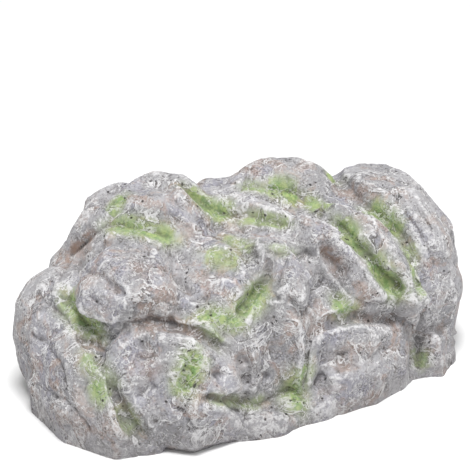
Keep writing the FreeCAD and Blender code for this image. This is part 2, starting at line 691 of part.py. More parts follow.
def make_key_shank():
    """Round neck with a slot for the bow's tang, and a blade of two crossed ribs."""
    body = doc.addObject("PartDesign::Body", "key_shank")
    start = -size("bow_dip")
    shoulder = start - size("neck_long")
    tip = shoulder - size("blade_long")
    half, radius = size("blade_across") / 2, size("neck_round") / 2
    edge, taper = size("neck_edge"), size("tip_taper")
    shoulder_x = "0 - bow_dip - neck_long"
    tip_x = f"{shoulder_x} - blade_long"

    profile = new_sketch(body, "neck_profile", "XY_Plane")
    closed_outline(profile, [
        (start, 0, "0 - bow_dip", "0"),
        (start, radius, "0 - bow_dip", "neck_round / 2"),
        (shoulder + edge, radius, f"{shoulder_x} + neck_edge", "neck_round / 2"),
        (shoulder, radius - edge, shoulder_x, "neck_round / 2 - neck_edge"),
        (shoulder, 0, shoulder_x, "0"),
    ])
    neck = body.newObject("PartDesign::Revolution", "neck")
    neck.Profile = profile
    neck.ReferenceAxis = (profile, ["H_Axis"])
    neck.Angle = 360

    for rib, role in (("flat_rib", "XY_Plane"), ("upright_rib", "XZ_Plane")):
        plan = new_sketch(body, f"{rib}_plan", role)
        closed_outline(plan, [
            (shoulder + edge, -half, f"{shoulder_x} + neck_edge", "0 - blade_across / 2"),
            (shoulder + edge, half, f"{shoulder_x} + neck_edge", "blade_across / 2"),
            (tip + taper, half, f"{tip_x} + tip_taper", "blade_across / 2"),
            (tip, half - taper, tip_x, "blade_across / 2 - tip_taper"),
            (tip, taper - half, tip_x, "tip_taper - blade_across / 2"),
            (tip + taper, -half, f"{tip_x} + tip_taper", "0 - blade_across / 2"),
        ])
        pad(body, plan, rib, "rib_thick", midplane=True)

    for rib, role, phase in (("flat", "XY_Plane", 0.0), ("upright", "XZ_Plane", 0.5)):
        notches = new_sketch(body, f"{rib}_notch_plan", role)
        for side in (1, -1):
            notch_outline(notches, side, phase, shoulder, half)
        cuts = body.newObject("PartDesign::Pocket", f"{rib}_notches")
        cuts.Profile = notches
        cuts.Type = "ThroughAll"
        cuts.Midplane = True
        doc.recompute()
        row = body.newObject("PartDesign::LinearPattern", f"{rib}_bit_row")
        row.Originals = [cuts]
        row.Direction = (notches, ["H_Axis"])
        row.Reversed = True
        bind(row, "Length", "bit_pitch * ( bit_count - 1 )")
        bind(row, "Occurrences", "bit_count")
        body.Tip = row
        doc.recompute()

    slot = new_sketch(body, "tang_slot_plan", "XY_Plane")
    tang = size("tang_wide") / 2
    end = start - size("tang_long")
    closed_outline(slot, [
        (end, -tang, "0 - bow_dip - tang_long", "0 - tang_wide / 2"),
        (start, -tang, "0 - bow_dip", "0 - tang_wide / 2"),
        (start, tang, "0 - bow_dip", "tang_wide / 2"),
        (end, tang, "0 - bow_dip - tang_long", "tang_wide / 2"),
    ])
    seat = body.newObject("PartDesign::Pocket", "tang_slot")
    seat.Profile = slot
    seat.Midplane = True
    bind(seat, "Length", "bow_thick")
    body.Tip = seat
    lay_key(body)
    return body


def notch_outline(sketch, side, phase, shoulder, half):
    """Bit cut in one edge of a rib, open outwards."""
    sign = "" if side > 0 else "0 - "
    middle = shoulder - size("bit_start") - phase * size("bit_pitch")
    middle_x = f"0 - bow_dip - neck_long - bit_start - {phase} * bit_pitch"
    mouth, root = size("bit_mouth") / 2, size("bit_root") / 2
    floor, past = half - size("bit_deep"), half + size("cut_past")
    wider = mouth + (mouth - root) * size("cut_past") / size("bit_deep")
    wider_x = "( bit_mouth / 2 + ( bit_mouth - bit_root ) / 2 * cut_past / bit_deep )"
    floor_y = f"{sign}( blade_across / 2 - bit_deep )"
    past_y = f"{sign}( blade_across / 2 + cut_past )"
    closed_outline(sketch, [
        (middle - root, side * floor, f"{middle_x} - bit_root / 2", floor_y),
        (middle + root, side * floor, f"{middle_x} + bit_root / 2", floor_y),
        (middle + wider, side * past, f"{middle_x} + {wider_x}", past_y),
        (middle - wider, side * past, f"{middle_x} - {wider_x}", past_y),
    ])


# ---------------------------------------------------------------- build, check, write
def build():
    fill_sheet()
    parts = [make_rock_body(), make_sliding_lid(), make_key_bow(), make_key_shank()]
    doc.recompute()
    for thing in doc.Objects:
        if "Invalid" in thing.State or "Error" in thing.State:
            raise RuntimeError(f"{thing.Name} failed: {thing.State}")
    for part in parts:
        if part.Shape.isNull() or not part.Shape.isValid():
            raise RuntimeError(f"{part.Label} has no valid shape")
    return parts


os.makedirs("parts", exist_ok=True)
for finished in build():
    finished.Shape.exportStep(f"parts/{finished.Label}.step")
    box = finished.Shape.BoundBox
    print(f"{finished.Label}: {len(finished.Shape.Solids)} solid, {len(finished.Shape.Faces)} faces,"
          f" {finished.Shape.Volume / 1000:.2f} cm3,"
          f" x {box.XMin:.2f}..{box.XMax:.2f} y {box.YMin:.2f}..{box.YMax:.2f} z {box.ZMin:.2f}..{box.ZMax:.2f}")
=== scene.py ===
"""Looks of the hide-a-key rock: sculpted and painted resin skin, plain grey lid, plated key."""
import json
import math
import random

import bmesh
import bpy
import numpy as np
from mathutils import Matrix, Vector, noise
from mathutils.bvhtree import BVHTree
from mathutils.kdtree import KDTree


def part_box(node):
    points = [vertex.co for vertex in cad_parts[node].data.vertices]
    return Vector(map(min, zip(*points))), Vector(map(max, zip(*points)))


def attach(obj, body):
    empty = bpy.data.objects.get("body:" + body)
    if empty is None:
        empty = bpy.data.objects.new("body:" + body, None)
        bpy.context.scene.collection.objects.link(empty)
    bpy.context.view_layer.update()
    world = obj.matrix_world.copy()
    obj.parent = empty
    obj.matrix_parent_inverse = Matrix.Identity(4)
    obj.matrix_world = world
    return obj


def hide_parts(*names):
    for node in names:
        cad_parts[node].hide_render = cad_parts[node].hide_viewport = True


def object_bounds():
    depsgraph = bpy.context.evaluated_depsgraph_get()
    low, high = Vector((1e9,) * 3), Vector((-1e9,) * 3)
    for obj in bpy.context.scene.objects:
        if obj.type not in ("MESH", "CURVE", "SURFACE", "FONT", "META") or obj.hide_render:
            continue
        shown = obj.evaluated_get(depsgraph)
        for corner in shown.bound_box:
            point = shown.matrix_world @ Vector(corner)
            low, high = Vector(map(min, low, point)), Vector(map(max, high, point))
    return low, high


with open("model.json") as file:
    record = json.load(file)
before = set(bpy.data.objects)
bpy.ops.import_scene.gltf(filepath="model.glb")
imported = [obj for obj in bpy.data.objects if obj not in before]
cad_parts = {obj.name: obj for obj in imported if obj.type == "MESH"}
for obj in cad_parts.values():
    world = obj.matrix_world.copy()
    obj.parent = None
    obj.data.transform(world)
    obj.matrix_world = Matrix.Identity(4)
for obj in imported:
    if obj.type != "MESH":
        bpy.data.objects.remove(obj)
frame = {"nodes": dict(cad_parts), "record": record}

CAD_BOX = [list(corner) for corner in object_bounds()]
NOISE_SEED = 11
noise.seed_set(NOISE_SEED)    # without it noise_vector gives other values in each run

MM = 0.001

# ---------------------------------------------------------------- camera
FRAME_PIXELS = 470
FOCAL_PIXELS = 2073.0        # focal length, in the photograph's pixels
ORIGIN_PIXEL = (245.3, 362.8)  # where the middle of the underside lies in the photograph
CAMERA_AZIMUTH = -32.0
CAMERA_ELEVATION = 28.0
CAMERA_DISTANCE = 0.52
SENSOR_WIDTH = 36.0


def make_camera():
    """Camera at the photograph's angle, aimed so that no shift is needed."""
    azimuth, elevation = math.radians(CAMERA_AZIMUTH), math.radians(CAMERA_ELEVATION)
    back = Vector((math.sin(azimuth) * math.cos(elevation),
                   -math.cos(azimuth) * math.cos(elevation), math.sin(elevation)))
    right = Vector((math.cos(azimuth), math.sin(azimuth), 0))
    up = back.cross(right)
    middle = FRAME_PIXELS / 2
    aim = (-back + right * (middle - ORIGIN_PIXEL[0]) / FOCAL_PIXELS
           - up * (middle - ORIGIN_PIXEL[1]) / FOCAL_PIXELS)
    data = bpy.data.cameras.new("camera")
    data.sensor_width = SENSOR_WIDTH
    data.lens = FOCAL_PIXELS / FRAME_PIXELS * SENSOR_WIDTH
    camera = bpy.data.objects.new("camera", data)
    camera.location = back * CAMERA_DISTANCE
    camera.rotation_mode = "QUATERNION"
    camera.rotation_quaternion = aim.to_track_quat("-Z", "Y")
    bpy.context.scene.collection.objects.link(camera)
    bpy.context.scene.camera = camera
    return camera


camera = make_camera()


def photo_ray(pixel):
    """Direction in which the camera sees a pixel of the photograph."""
    middle = FRAME_PIXELS / 2
    local = Vector(((pixel[0] - middle) / FOCAL_PIXELS, -(pixel[1] - middle) / FOCAL_PIXELS, -1))
    return (camera.rotation_quaternion @ local).normalized()


# ---------------------------------------------------------------- mesh helpers
def link(name, mesh):
    thing = bpy.data.objects.new(name, mesh)
    bpy.context.scene.collection.objects.link(thing)
    return thing


def apply_modifiers(thing):
    """Swap the object's mesh for what its modifiers make of it."""
    depsgraph = bpy.context.evaluated_depsgraph_get()
    mesh = bpy.data.meshes.new_from_object(thing.evaluated_get(depsgraph))
    thing.modifiers.clear()
    thing.data = mesh
    return thing


def points_of(mesh):
    flat = np.empty(len(mesh.vertices) * 3)
    mesh.vertices.foreach_get("co", flat)
    return flat.reshape(-1, 3)


def set_points(mesh, points):
    mesh.vertices.foreach_set("co", points.reshape(-1))
    mesh.update()


def normals_of(mesh):
    flat = np.empty(len(mesh.vertices) * 3)
    mesh.vertices.foreach_get("normal", flat)
    return flat.reshape(-1, 3)


def edges_of(mesh):
    flat = np.empty(len(mesh.edges) * 2, dtype=np.int32)
    mesh.edges.foreach_get("vertices", flat)
    return flat.reshape(-1, 2)


def relax(values, edges, rounds, share=0.5):
    """Average each vertex's value with its neighbours' a number of times."""
    count = len(values)
    degree = np.bincount(edges.reshape(-1), minlength=count).astype(float)
    result = values.copy()
    for _ in range(rounds):
        if result.ndim == 1:
            total = (np.bincount(edges[:, 0], result[edges[:, 1]], count)
                     + np.bincount(edges[:, 1], result[edges[:, 0]], count))
            result = result * (1 - share) + share * total / degree
        else:
            for axis in range(result.shape[1]):
                column = result[:, axis]
                total = (np.bincount(edges[:, 0], column[edges[:, 1]], count)
                         + np.bincount(edges[:, 1], column[edges[:, 0]], count))
                result[:, axis] = column * (1 - share) + share * total / degree
    return result


def point_tree(places):
    tree = KDTree(len(places))
    for i, place in enumerate(places):
        tree.insert(place, i)
    tree.balance()
    return tree


def smoothstep(low, high, values):
    t = np.clip((values - low) / (high - low), 0, 1)
    return t * t * (3 - 2 * t)


def box_object(name, low, high):
    mesh = bpy.data.meshes.new(name)
    block = bmesh.new()
    bmesh.ops.create_cube(block, size=1.0)
    low, high = Vector(low), Vector(high)
    for vertex in block.verts:
        vertex.co = Vector([low[i] + (vertex.co[i] + 0.5) * (high[i] - low[i]) for i in range(3)])
    block.to_mesh(mesh)
    block.free()
    return link(name, mesh)


def subtract(thing, cutter):
    change = thing.modifiers.new("cut", "BOOLEAN")
    change.operation = "DIFFERENCE"
    change.solver = "MANIFOLD"
    change.object = cutter
    apply_modifiers(thing)
    bpy.data.objects.remove(cutter)
    return thing


# ---------------------------------------------------------------- rock: base form
VOXEL = 0.53 * MM            # size of the skin's faces
FOOT = 4.0 * MM              # how far the base form runs on below the underside while it is sculpted
FORM_ROUNDS = 5              # smoothing of the joints between the stones
FILL_PAST = 1.0 * MM         # how far the fillers reach past the compartment and the channel
FILL_SHORT = 7.0 * MM        # how far before the channel's open end its filler stops
LID_CLEAR = 0.5 * MM         # how far the channel's box reaches above the lid
ROOM_CLEAR = 4.5 * MM        # how far the compartment's box reaches above its stated opening


def welded_copy(node, name):
    """Closed copy of a CAD node's mesh."""
    mesh = node.data.copy()
    work = bmesh.new()
    work.from_mesh(mesh)
    bmesh.ops.remove_doubles(work, verts=work.verts, dist=1e-6)
    work.to_mesh(mesh)
    work.free()
    mesh.materials.clear()
    return link(name, mesh)


def hollow_boxes():
    """Two boxes: round the compartment, and round the channel as far as past the rock's end."""
    lid_low, lid_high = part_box("sliding_lid")
    room_low, room_high = frame["record"]["physics"]["openings"][0]["box_m"]
    rock_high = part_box("rock_body")[1]
    side = lid_high.y + FILL_PAST
    back = lid_low.x - FILL_PAST
    channel = [(back, -side, -FILL_PAST), (rock_high.x + FILL_PAST, side, lid_high.z + LID_CLEAR)]
    chamber = [(room_low[0] - 3 * FILL_PAST, room_low[1] - 2 * FILL_PAST, -FILL_PAST),
               (room_high[0] + 3 * FILL_PAST, room_high[1] + 2 * FILL_PAST, room_high[2] + ROOM_CLEAR)]
    return chamber, channel


def base_form():
    """The CAD rock without its hollows, run on a little below the ground, in even small faces."""
    form = welded_copy(frame["nodes"]["rock_body"], "rock_skin")
    work = bmesh.new()
    work.from_mesh(form.data)
    under = [f for f in work.faces if all(v.co.z < 1e-6 for v in f.verts)]
    grown = bmesh.ops.extrude_face_region(work, geom=under)["geom"]
    for thing in grown:
        if isinstance(thing, bmesh.types.BMVert):
            thing.co.z -= FOOT
    bmesh.ops.delete(work, geom=under, context="FACES")
    work.to_mesh(form.data)
    work.free()
    fillers = []
    for (low, high), short in zip(hollow_boxes(), (0.0, FILL_SHORT)):
        low = (low[0], low[1], -FOOT)
        fillers.append(box_object("filler", low, (high[0] - short, high[1], high[2])))
    depsgraph = bpy.context.evaluated_depsgraph_get()
    work = bmesh.new()
    work.from_mesh(form.data)
    for filler in fillers:
        work.from_mesh(filler.evaluated_get(depsgraph).to_mesh())
    work.to_mesh(form.data)
    work.free()
    for filler in fillers:
        bpy.data.objects.remove(filler)
    remesh = form.modifiers.new("remesh", "REMESH")
    remesh.mode = "VOXEL"
    remesh.voxel_size = VOXEL
    apply_modifiers(form)
    set_points(form.data, relax(points_of(form.data), edges_of(form.data), FORM_ROUNDS))
    return form


# ---------------------------------------------------------------- rock: cracks and ledges
# Each crevice: pixels of the photograph along it, half width and depth in millimetres, and how
# far the rock stands up beside it, on the right and on the left of the way it runs.
CREVICES = {
    "left_valley": ([(132, 190), (117, 205), (108, 216), (97, 231), (90, 238), (70, 255), (60, 274),
                     (58, 288)], 1.6, 2.0, 0.3, 0.4),
    "face_lower": ([(62, 286), (67, 303), (84, 319), (96, 330), (107, 343)], 1.4, 2.1, 0.0, 0.9),
    "face_upper": ([(100, 226), (122, 224), (147, 228), (164, 233), (180, 240)],
                    1.3, 1.7, 0.4, 0.3),
    "face_right": ([(160, 238), (172, 256), (176, 276), (186, 290), (200, 300)],
                    1.1, 1.4, 0.6, 0.0),
    "crest_groove": ([(180, 184), (199, 201), (217, 210), (234, 216), (257, 217), (280, 223),
                      (297, 228)], 1.3, 1.8, 0.0, 0.8),
    "upper_groove": ([(236, 184), (252, 185), (272, 187), (299, 193), (319, 205), (330, 212)],
                    1.2, 1.4, 0.0, 0.6),
    "lobe_valley": ([(329, 168), (336, 176), (352, 190), (370, 208), (385, 219), (400, 234),
                     (412, 248), (413, 264), (419, 280), (425, 309), (420, 340), (415, 373)],
                    1.5, 2.1, 0.4, 0.6),
    "slab_gap": ([(332, 214), (340, 226), (349, 237), (364, 253), (377, 270), (394, 284), (408, 300)],
                    1.3, 1.8, 0.6, 0.6),
    "slab_overhang": ([(318, 240), (326, 256), (340, 272), (349, 294), (368, 305), (392, 310)],
                    1.2, 1.7, 0.0, 1.2),
    "centre_top": ([(262, 250), (284, 252), (304, 254), (320, 262)], 1.1, 1.7, 0.9, 0.0),
    "centre_left": ([(276, 254), (270, 264), (265, 278), (257, 293), (246, 306), (232, 318)],
                    1.3, 2.4, 0.0, 1.2),
    "centre_right": ([(318, 262), (322, 280), (314, 300), (312, 330), (310, 360), (307, 385),
                      (304, 408)], 1.3, 2.7, 1.0, 0.0),
    "left_boulder": ([(40, 296), (60, 314), (76, 334), (92, 342), (100, 354), (99, 364), (106, 377),
                      (114, 390), (121, 402), (128, 420), (142, 434), (150, 446)],
                    1.4, 2.9, 0.5, 0.5),
    "middle_top": ([(100, 356), (102, 347), (108, 338), (127, 326), (150, 322), (172, 323), (190, 330),
                    (210, 341), (236, 353)], 1.3, 2.4, 0.9, 0.0),
    "middle_right": ([(236, 353), (246, 362), (252, 376), (247, 392)], 1.1, 1.7, 0.0, 0.0),
    "low_ledge": ([(196, 388), (204, 397), (234, 399), (254, 406), (272, 397), (288, 390), (306, 386)],
                    0.9, 2.0, 0.6, 0.0),
    "round_outline": ([(308, 352), (313, 336), (322, 328), (338, 321), (356, 317), (380, 319),
                       (403, 322), (414, 334), (418, 352), (415, 372)], 1.1, 2.2, 0.8, 0.0),
    "foot_outline": ([(416, 372), (420, 342), (434, 327), (452, 336)], 1.0, 1.8, 0.6, 0.0),
    "middle_dip": ([(196, 347), (192, 362), (185, 382), (187, 396)], 1.2, 1.5, 0.0, 0.4),
    "middle_hole": ([(186, 360), (193, 362)], 0.9, 2.1, 0.0, 0.0),
    "low_crack": ([(178, 408), (187, 420), (197, 434)], 0.8, 1.7, 0.4, 0.0),
    "face_crack": ([(98, 269), (106, 280), (116, 287), (131, 295)], 0.8, 1.5, 0.4, 0.0),
    "face_ledge": ([(76, 265), (97, 277), (111, 289), (127, 298), (150, 305)], 0.8, 1.0, 0.0, 0.8),
    "crest_crack": ([(208, 232), (226, 240), (240, 252), (262, 262)], 0.8, 1.4, 0.4, 0.0),
    "crest_layer": ([(165, 190), (180, 206), (200, 222), (222, 231), (250, 236)],
                    0.8, 1.0, 0.6, 0.0),
    "lobe_layer": ([(372, 178), (392, 196), (412, 220), (430, 250), (440, 282)],
                    0.8, 1.0, 0.6, 0.0),
    "lobe_crack": ([(400, 190), (420, 210), (436, 236)], 0.8, 1.0, 0.0, 0.4),
    "left_crack": ([(30, 330), (46, 345), (62, 368), (70, 392)], 0.8, 1.2, 0.4, 0.0),
    "left_low_crack": ([(44, 388), (64, 400), (84, 420), (96, 440)], 0.8, 1.4, 0.0, 0.4),
    "centre_slit": ([(301, 302), (305, 309), (310, 319)], 1.0, 2.6, 0.0, 0.0),
    "centre_fold": ([(286, 297), (292, 308), (300, 317), (309, 324)], 0.9, 1.6, 0.0, 0.0),
    "centre_branch": ([(311, 319), (314, 306), (320, 300)], 1.0, 2.2, 0.0, 0.0),
    "round_slit_left": ([(337, 350), (336, 363), (340, 378)], 1.0, 1.8, 0.0, 0.0),
    "round_slit_right": ([(345, 349), (343, 362), (347, 376)], 1.0, 1.4, 0.0, 0.0),
    "round_ring": ([(372, 366), (374, 356), (382, 350), (393, 349)], 0.9, 1.3, 0.0, 0.0),
    "round_spur": ([(311, 386), (318, 378), (326, 369)], 1.0, 1.9, 0.0, 0.0),
    "middle_edge": ([(167, 359), (165, 368), (167, 377)], 1.0, 1.7, 0.0, 0.0),
    "middle_plate": ([(134, 354), (146, 356), (158, 356)], 0.9, 1.2, 0.0, 0.0),
    "middle_plate_low": ([(156, 382), (146, 392), (133, 402)], 0.9, 1.2, 0.0, 0.0),
    "middle_hollow": ([(216, 381), (221, 375), (230, 378)], 1.2, 2.0, 0.0, 0.0),
    "low_joint": ([(226, 400), (232, 408), (240, 412)], 0.9, 1.6, 0.0, 0.0),
}
# Round shallow dents, and swellings where the depth is negative: pixel, radius and depth in
# millimetres.
DENTS = {
    "left_shoulder": ((37, 284), 9.0, -1.8),
    "left_low_flank": ((18, 385), 8.0, 1.2),
    "left_peak": ((66, 240), 7.0, -3.6),
    "left_top": ((84, 232), 7.0, -2.2),
    "crest_peak": ((153, 175), 4.0, -0.9),
    "left_flank": ((21, 325), 7.0, -0.9),
    "crest_left": ((140, 184), 6.0, 1.0),
    "right_flank": ((454, 348), 7.0, 1.6),
    "round_foot": ((340, 402), 8.0, -1.9),
    "round_foot_left": ((318, 412), 7.0, -2.6),
    "low_foot": ((262, 434), 9.0, -1.6),
    "round_side": ((404, 382), 7.0, -3.0),
    "tall_dent": ((343, 354), 3.6, 1.0),
    "ring_dent": ((386, 358), 4.4, 1.0),
    "middle_dent": ((150, 352), 4.5, 0.9),
    "centre_dent": ((296, 286), 2.6, 0.7),
    "wall_dent": ((218, 372), 4.0, 0.9),
    "wall_hole": ((267, 377), 1.1, 1.4),
    "wall_hole_left": ((246, 378), 1.5, 1.2),
    "middle_hole": ((179, 411), 1.2, 1.3),
    "low_hole": ((156, 422), 1.1, 1.2),
}
# Places where the joints between the stones gape more than in the photograph: pixel and radius.
SOFTENED = (
    ((146, 211), 8.0),
    ((131, 211), 7.0),
    ((284, 177), 7.0),
    ((240, 175), 6.0),
    ((287, 268), 5.0),
    ((350, 214), 4.0),
    ((205, 181), 6.0),
)
SOFTEN_ROUNDS = 160
STEP_REACH = 4.5 * MM        # how far a raised edge takes to die away
PATH_STEP = 0.7 * MM         # distance between the points of a path
CREVICE_WANDER = 0.6 * MM    # how far a path strays from its stations
CRACK_WANDER = 0.5 * MM
STREAK_WANDER = 1.2 * MM


def surface_tree(mesh):
    return BVHTree.FromPolygons([v.co for v in mesh.vertices], [p.vertices for p in mesh.polygons])


def lift_to_surface(tree, pixels):
    """Points and normals on the rock where the camera sees the given pixels."""
    eye = camera.location
    found = []
    for pixel in pixels:
        place, normal, _, _ = tree.ray_cast(eye, photo_ray(pixel))
        if place is None:
            place, normal, _, _ = tree.find_nearest(eye + photo_ray(pixel) * CAMERA_DISTANCE)
        found.append((place, normal))
    return found


def walk(tree, stations, wander, seed):
    """Closely spaced points, normals and headings along the stations, held to the surface."""
    points, normals, headings = [], [], []
    for (start, _), (end, _) in zip(stations, stations[1:]):
        count = max(1, int((end - start).length / PATH_STEP))
        for i in range(count):
            at = start.lerp(end, i / count)
            sway = noise.noise_vector(at / (4 * MM) + Vector((seed, 0, 0))) * wander
            place, normal, _, _ = tree.find_nearest(at + sway)
            points.append(place)
            normals.append(normal)
            headings.append((end - start).normalized())
    return np.array(points), np.array(normals), np.array(headings)


def near_path(points, path, reach):
    """For the vertices within reach of a path: their index, distance, side and share along it."""
    tree = point_tree(path[0])
    low, high = path[0].min(0) - reach, path[0].max(0) + reach
    candidates = np.nonzero(np.all((points > low) & (points < high), axis=1))[0]
    nearest = np.zeros(len(candidates), dtype=int)
    distance = np.zeros(len(candidates))
    for i, vertex in enumerate(candidates):
        _, nearest[i], distance[i] = tree.find(points[vertex])
    keep = distance < reach
    candidates, nearest, distance = candidates[keep], nearest[keep], distance[keep]
    across = np.cross(path[2][nearest], path[1][nearest])
    offset = points[candidates] - path[0][nearest]
    side = np.einsum("ij,ij->i", offset, across)
    share = nearest / max(1, len(path[0]) - 1)
    return candidates, distance, side, share


def carve(push, points, path, half_width, depth, right, left, taper=0.14):
    """Add one crevice to the push of each vertex along its normal."""
    reach = max(5 * half_width, 2.5 * STEP_REACH if right or left else 0)
    index, distance, side, share = near_path(points, path, reach)
    ends = smoothstep(0, taper, share) * smoothstep(0, taper, 1 - share)
    groove = depth * np.exp(-(distance / (0.8 * half_width)) ** 0.9)
    rise = 0.75 * np.where(side > 0, right, left) * np.exp(-distance / STEP_REACH)
    blend = smoothstep(0, 2.5 * half_width, distance)
    push[index] += ends * (rise * blend - groove)


def soften(form):
    """Smooth the base form where a joint gapes."""
    tree = surface_tree(form.data)
    points, edges = points_of(form.data), edges_of(form.data)
    smooth = relax(points, edges, SOFTEN_ROUNDS)
    share = np.zeros(len(points))
    for pixel, radius in SOFTENED:
        place, _ = lift_to_surface(tree, [pixel])[0]
        distance = np.linalg.norm(points - np.array(place), axis=1)
        share = np.maximum(share, np.exp(-(distance / (radius * MM)) ** 4))
    set_points(form.data, points + (smooth - points) * share[:, None])


def carve_crevices(form, push, points):
    """Crevices, dents and swellings of the tables; also gives the surface and the crevices' paths."""
    tree = surface_tree(form.data)
    paths = []
    for seed, (pixels, half_width, depth, right, left) in enumerate(CREVICES.values()):
        path = walk(tree, lift_to_surface(tree, pixels), CREVICE_WANDER, seed)
        paths.append((path, depth))
        carve(push, points, path, half_width * MM, depth * MM, right * MM, left * MM)
    for pixel, radius, depth in DENTS.values():
        place, _ = lift_to_surface(tree, [pixel])[0]
        distance = np.linalg.norm(points - np.array(place), axis=1)
        push -= depth * MM * np.exp(-(distance / (radius * MM)) ** 2 * 1.6)
    return tree, paths


# ---------------------------------------------------------------- rock: cracks the photograph doesn't show
CRACK_SEED = 11
CRACK_COUNT = 110
CRACK_STRIDE = 3.0 * MM
HIDDEN_BELOW = 0.12          # a place that faces the camera less than this counts as hidden
FLAT_FOOT = 1.0 * MM         # no crack starts lower than this, so the underside stays flat
SPREAD = Vector((58, 36, 50)) * (4 * MM)    # half sizes of the shell from which places are drawn
MIDDLE = Vector((0, 0, 12)) * MM            # middle of that shell


def drawn_spot(draw):
    """A point on the shell in a drawn direction; the order of the mesh's vertices has no part in it."""
    toward = Vector([draw.gauss(0, 1) for _ in range(3)]).normalized()
    return MIDDLE + Vector([a * b for a, b in zip(toward, SPREAD)])


def random_cracks(push, points, tree):
    """Cracks that wander over the whole surface, longer and deeper where the photograph doesn't look."""
    draw = random.Random(CRACK_SEED)
    toward_camera = camera.location.normalized()
    paths = []
    while len(paths) < CRACK_COUNT:
        spot = drawn_spot(draw)
        place, normal, _, _ = tree.ray_cast(spot, MIDDLE - spot)
        hidden = normal.dot(toward_camera) < HIDDEN_BELOW
        heading = Vector([draw.uniform(-1, 1) for _ in range(3)])
        length = draw.uniform(10, 34) if hidden else draw.uniform(5, 16)
        half_width = draw.uniform(0.9, 2.2) if hidden else draw.uniform(0.5, 1.0)
        depth = draw.uniform(0.9, 2.2) if hidden else draw.uniform(0.35, 0.8)
        lift = draw.uniform(0.2, 1.0) if hidden else draw.uniform(0.0, 0.45)
        turn = [draw.uniform(-1, 1) for _ in range(3)]
        if place.z < FLAT_FOOT:
            continue
        stations = [(place, normal)]
        for _ in range(int(length * MM / CRACK_STRIDE)):
            heading = heading - normal * heading.dot(normal)
            bend = noise.noise_vector(place / (7 * MM) + Vector(turn)) * 1.1
            heading = (heading.normalized() + bend).normalized()
            place, normal, _, _ = tree.find_nearest(place + heading * CRACK_STRIDE)
            stations.append((place, normal))
        path = walk(tree, stations, CRACK_WANDER, len(paths))
        paths.append((path, depth))
        carve(push, points, path, half_width * MM, depth * MM, lift * MM, 0.0, taper=0.3)
    return paths


# ---------------------------------------------------------------- rock: grain
# Plates: distance over which they wander, height of their edges, how many edges to a wander, and
# how much of its height a plate loses again before the next edge.
PLATES = (
    (13.0, 0.50, 2.4, 0.85),
    (6.5, 0.30, 2.2, 0.75),
    (3.2, 0.15, 2.0, 0.60),
)
EDGE_SHARE = 0.22            # part of a plate taken up by its rising edge
STRATA = Vector((0.75, -0.45, -0.48)).normalized()    # the plates lie long this way
STRATA_SHARE = 0.45


def plate_height(place, span, edge, crowd, fall, seed):
    """Height in millimetres of overlapping plates: a sharp rise, then a gentle fall to the next."""
    drawn = place - STRATA * (STRATA_SHARE * place.dot(STRATA))
    spot = drawn / (span * MM) + Vector((seed, seed * 0.7, 0))
    level = noise.noise(spot) * crowd
    whole = math.floor(level)
    part = level - whole
    rise = min(part / EDGE_SHARE, 1.0)
    rise = rise * rise * (3 - 2 * rise)
    strength = 0.35 + 1.1 * abs(noise.noise(spot * 0.6 + Vector((7, 0, seed))))
    return edge * strength * (rise - fall * part)


def grain(points):
    """Height of the weathered surface over the smooth form, at several sizes."""
    height = np.zeros(len(points))
    for i, point in enumerate(points):
        place = Vector(point)
        bent = place + noise.noise_vector(place / (4 * MM)) * (1.3 * MM)
        bent += noise.noise_vector(place / (1.4 * MM)) * (0.45 * MM)
        height[i] = 0.45 * noise.noise(place / (12 * MM)) - 0.25
        height[i] += 0.07 * noise.noise(bent / (1.2 * MM))
        for seed, (span, edge, crowd, fall) in enumerate(PLATES, start=3):
            height[i] += plate_height(bent, span, edge, crowd, fall, seed)
    return height * MM


